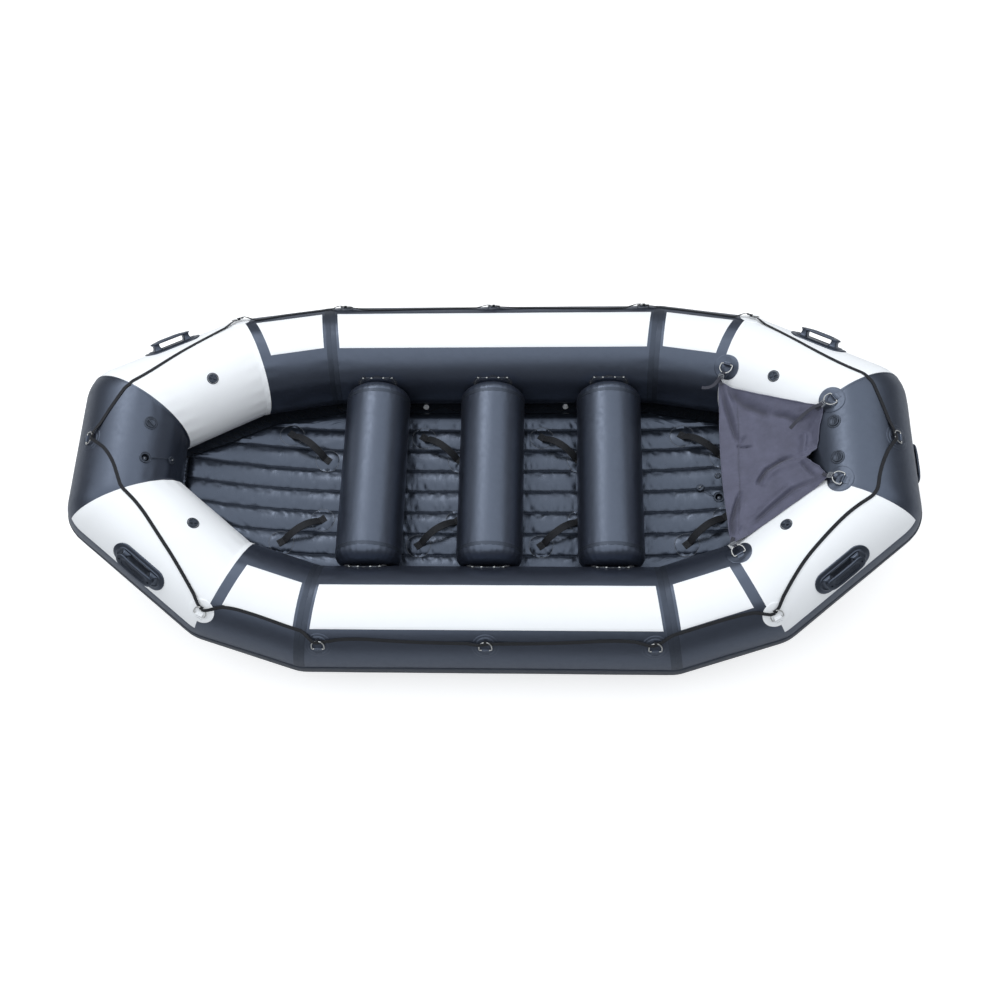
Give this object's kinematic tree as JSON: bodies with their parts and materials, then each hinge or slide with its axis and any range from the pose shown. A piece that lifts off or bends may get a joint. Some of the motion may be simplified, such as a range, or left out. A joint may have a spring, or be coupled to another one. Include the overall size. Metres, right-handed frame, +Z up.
{
  "type": "whitewater raft",
  "caption": "Inflatable self-bailing paddle raft: mitred hull tubes, cross thwarts, ribbed floor, grab line on D-rings, carry handles, foot straps and a stow bag.",
  "frame": {"origin": "on the ground, under the middle of the raft's length and beam", "axes": "+X towards the bow, where the stow bag hangs; +Y to port; +Z up"},
  "size_m": [4.0612, 1.9472, 0.7691],
  "materials": {
    "black_pvc": "satin",
    "white_pvc": "satin",
    "strake_rubber": "satin",
    "floor_pvc": "satin",
    "handle_rubber": "satin",
    "stainless_steel": "polished",
    "black_webbing": "matte",
    "valve_plastic": "satin",
    "grey_bag_cloth": "matte"
  },
  "bodies": {
    "raft": {"carry_handle_bow": "handle_rubber", "carry_handle_bow_port": "handle_rubber", "carry_handle_bow_starboard": "handle_rubber", "carry_handle_stern": "handle_rubber", "carry_handle_stern_port": "handle_rubber", "carry_handle_stern_starboard": "handle_rubber", "corner_tube_bow_port": "white_pvc", "corner_tube_bow_starboard": "white_pvc", "corner_tube_stern_port": "white_pvc", "corner_tube_stern_starboard": "white_pvc", "end_tube_bow": "black_pvc", "end_tube_stern": "black_pvc", "floor": "floor_pvc", "floor_valve_cap": "valve_plastic", "foot_strap_port_1": "black_webbing", "foot_strap_port_2": "black_webbing", "foot_strap_port_3": "black_webbing", "foot_strap_port_4": "black_webbing", "foot_strap_starboard_1": "black_webbing", "foot_strap_starboard_2": "black_webbing", "foot_strap_starboard_3": "black_webbing", "foot_strap_starboard_4": "black_webbing", "grab_line": "black_webbing", "quarter_tube_bow_port": "black_pvc", "quarter_tube_bow_starboard": "black_pvc", "quarter_tube_stern_port": "black_pvc", "quarter_tube_stern_starboard": "black_pvc", "rub_strake": "strake_rubber", "side_tube_port": "black_pvc", "side_tube_starboard": "black_pvc", "stow_bag": "grey_bag_cloth", "thwart_bow": "black_pvc", "thwart_centre": "black_pvc", "thwart_stern": "black_pvc", "valve_cap_stern_loose": "valve_plastic"},
    "d_ring_stern_side_port": {"d_ring_stern_side_port": "stainless_steel"},
    "d_ring_mid_side_port": {"d_ring_mid_side_port": "stainless_steel"},
    "d_ring_bow_side_port": {"d_ring_bow_side_port": "stainless_steel"},
    "d_ring_corner_bow_port": {"d_ring_corner_bow_port": "stainless_steel"},
    "d_ring_corner_stern_port": {"d_ring_corner_stern_port": "stainless_steel"},
    "d_ring_stern_side_starboard": {"d_ring_stern_side_starboard": "stainless_steel"},
    "d_ring_mid_side_starboard": {"d_ring_mid_side_starboard": "stainless_steel"},
    "d_ring_bow_side_starboard": {"d_ring_bow_side_starboard": "stainless_steel"},
    "d_ring_corner_bow_starboard": {"d_ring_corner_bow_starboard": "stainless_steel"},
    "d_ring_corner_stern_starboard": {"d_ring_corner_stern_starboard": "stainless_steel"},
    "d_ring_end_bow": {"d_ring_end_bow": "stainless_steel"},
    "d_ring_end_stern": {"d_ring_end_stern": "stainless_steel"},
    "bag_ring_aft_port": {"bag_ring_aft_port": "stainless_steel"},
    "bag_ring_fore_port": {"bag_ring_fore_port": "stainless_steel"},
    "bag_ring_aft_starboard": {"bag_ring_aft_starboard": "stainless_steel"},
    "bag_ring_fore_starboard": {"bag_ring_fore_starboard": "stainless_steel"},
    "valve_cap_corner_bow_port": {"valve_cap_corner_bow_port": "valve_plastic"},
    "valve_cap_corner_stern_port": {"valve_cap_corner_stern_port": "valve_plastic"},
    "valve_cap_corner_bow_starboard": {"valve_cap_corner_bow_starboard": "valve_plastic"},
    "valve_cap_corner_stern_starboard": {"valve_cap_corner_stern_starboard": "valve_plastic"},
    "valve_cap_bow_port": {"valve_cap_bow_port": "valve_plastic"},
    "valve_cap_bow_starboard": {"valve_cap_bow_starboard": "valve_plastic"},
    "valve_cap_stern_port": {"valve_cap_stern_port": "valve_plastic"},
    "valve_poppet_stern": {"valve_poppet_stern": "valve_plastic"},
    "floor_valve_poppet": {"floor_valve_poppet": "valve_plastic"}
  },
  "joints": [
    {"name": "d_ring_stern_side_port_hinge", "type": "hinge", "parent": "raft", "child": "d_ring_stern_side_port", "pos_m": [-0.766, 0.91527, 0.41268], "axis": [-1, 0, 0], "range_deg": [0, 75], "deforming": ["grab_line"]},
    {"name": "d_ring_mid_side_port_hinge", "type": "hinge", "parent": "raft", "child": "d_ring_mid_side_port", "pos_m": [0, 0.91527, 0.41268], "axis": [-1, 0, 0], "range_deg": [0, 75], "deforming": ["grab_line"]},
    {"name": "d_ring_bow_side_port_hinge", "type": "hinge", "parent": "raft", "child": "d_ring_bow_side_port", "pos_m": [0.766, 0.91527, 0.41268], "axis": [-1, 0, 0], "range_deg": [0, 75], "deforming": ["grab_line"]},
    {"name": "d_ring_corner_bow_port_hinge", "type": "hinge", "parent": "raft", "child": "d_ring_corner_bow_port", "pos_m": [1.30604, 0.78574, 0.50921], "axis": [-0.8689, 0.431, -0.2432], "range_deg": [0, 75], "deforming": ["grab_line"]},
    {"name": "d_ring_corner_stern_port_hinge", "type": "hinge", "parent": "raft", "child": "d_ring_corner_stern_port", "pos_m": [-1.30604, 0.78574, 0.50921], "axis": [-0.8689, -0.431, 0.2432], "range_deg": [0, 75], "deforming": ["grab_line"]},
    {"name": "d_ring_stern_side_starboard_hinge", "type": "hinge", "parent": "raft", "child": "d_ring_stern_side_starboard", "pos_m": [-0.766, -0.91527, 0.41268], "axis": [1, 0, 0], "range_deg": [0, 75], "deforming": ["grab_line"]},
    {"name": "d_ring_mid_side_starboard_hinge", "type": "hinge", "parent": "raft", "child": "d_ring_mid_side_starboard", "pos_m": [0, -0.91527, 0.41268], "axis": [1, 0, 0], "range_deg": [0, 75], "deforming": ["grab_line"]},
    {"name": "d_ring_bow_side_starboard_hinge", "type": "hinge", "parent": "raft", "child": "d_ring_bow_side_starboard", "pos_m": [0.766, -0.91527, 0.41268], "axis": [1, 0, 0], "range_deg": [0, 75], "deforming": ["grab_line"]},
    {"name": "d_ring_corner_bow_starboard_hinge", "type": "hinge", "parent": "raft", "child": "d_ring_corner_bow_starboard", "pos_m": [1.30604, -0.78574, 0.50921], "axis": [0.8689, 0.431, 0.2432], "range_deg": [0, 75], "deforming": ["grab_line"]},
    {"name": "d_ring_corner_stern_starboard_hinge", "type": "hinge", "parent": "raft", "child": "d_ring_corner_stern_starboard", "pos_m": [-1.30604, -0.78574, 0.50921], "axis": [0.8689, -0.431, -0.2432], "range_deg": [0, 75], "deforming": ["grab_line"]},
    {"name": "d_ring_end_bow_hinge", "type": "hinge", "parent": "raft", "child": "d_ring_end_bow", "pos_m": [1.87387, 0, 0.72622], "axis": [0, 1, 0], "range_deg": [0, 75], "deforming": ["grab_line"]},
    {"name": "d_ring_end_stern_hinge", "type": "hinge", "parent": "raft", "child": "d_ring_end_stern", "pos_m": [-1.87387, 0, 0.72622], "axis": [0, -1, 0], "range_deg": [0, 75], "deforming": ["grab_line"]},
    {"name": "bag_ring_aft_port_hinge", "type": "hinge", "parent": "raft", "child": "bag_ring_aft_port", "pos_m": [1.15127, 0.49151, 0.54075], "axis": [-0.8689, 0.431, -0.2432], "range_deg": [0, 45], "deforming": ["stow_bag"]},
    {"name": "bag_ring_fore_port_hinge", "type": "hinge", "parent": "raft", "child": "bag_ring_fore_port", "pos_m": [1.59427, 0.20519, 0.73043], "axis": [-0.429, 0.8891, -0.1596], "range_deg": [0, 45], "deforming": ["stow_bag"]},
    {"name": "bag_ring_aft_starboard_hinge", "type": "hinge", "parent": "raft", "child": "bag_ring_aft_starboard", "pos_m": [1.15127, -0.49151, 0.54075], "axis": [0.8689, 0.431, 0.2432], "range_deg": [0, 45], "deforming": ["stow_bag"]},
    {"name": "bag_ring_fore_starboard_hinge", "type": "hinge", "parent": "raft", "child": "bag_ring_fore_starboard", "pos_m": [1.59427, -0.20519, 0.73043], "axis": [0.429, 0.8891, 0.1596], "range_deg": [0, 45], "deforming": ["stow_bag"]},
    {"name": "valve_cap_corner_bow_port_turn", "type": "hinge", "parent": "raft", "child": "valve_cap_corner_bow_port", "pos_m": [1.35175, 0.37961, 0.62088], "axis": [-0.5036, -0.2335, 0.8318], "range_deg": [0, 90]},
    {"name": "valve_cap_corner_stern_port_turn", "type": "hinge", "parent": "raft", "child": "valve_cap_corner_stern_port", "pos_m": [-1.35175, 0.37961, 0.62088], "axis": [0.5036, -0.2335, 0.8318], "range_deg": [0, 90]},
    {"name": "valve_cap_corner_bow_starboard_turn", "type": "hinge", "parent": "raft", "child": "valve_cap_corner_bow_starboard", "pos_m": [1.35175, -0.37961, 0.62088], "axis": [-0.5036, 0.2335, 0.8318], "range_deg": [0, 90]},
    {"name": "valve_cap_corner_stern_starboard_turn", "type": "hinge", "parent": "raft", "child": "valve_cap_corner_stern_starboard", "pos_m": [-1.35175, -0.37961, 0.62088], "axis": [0.5036, 0.2335, 0.8318], "range_deg": [0, 90]},
    {"name": "valve_cap_bow_port_turn", "type": "hinge", "parent": "raft", "child": "valve_cap_bow_port", "pos_m": [1.58605, 0.09, 0.71448], "axis": [-0.5878, 0, 0.809], "range_deg": [0, 90]},
    {"name": "valve_cap_bow_starboard_turn", "type": "hinge", "parent": "raft", "child": "valve_cap_bow_starboard", "pos_m": [1.58605, -0.09, 0.71448], "axis": [-0.5878, 0, 0.809], "range_deg": [0, 90]},
    {"name": "valve_cap_stern_port_turn", "type": "hinge", "parent": "raft", "child": "valve_cap_stern_port", "pos_m": [-1.58605, 0.09, 0.71448], "axis": [0.5878, 0, 0.809], "range_deg": [0, 90]},
    {"name": "valve_poppet_stern_slide", "type": "slide", "parent": "raft", "child": "valve_poppet_stern", "axis": [-0.5878, 0, -0.809], "range_m": [0, 0.005], "stiffness_N_per_m": 300, "springref_m": -0.002},
    {"name": "floor_valve_poppet_slide", "type": "slide", "parent": "raft", "child": "floor_valve_poppet", "axis": [0.1894, 0, -0.9819], "range_m": [0, 0.005], "stiffness_N_per_m": 300, "springref_m": -0.002}
  ]
}
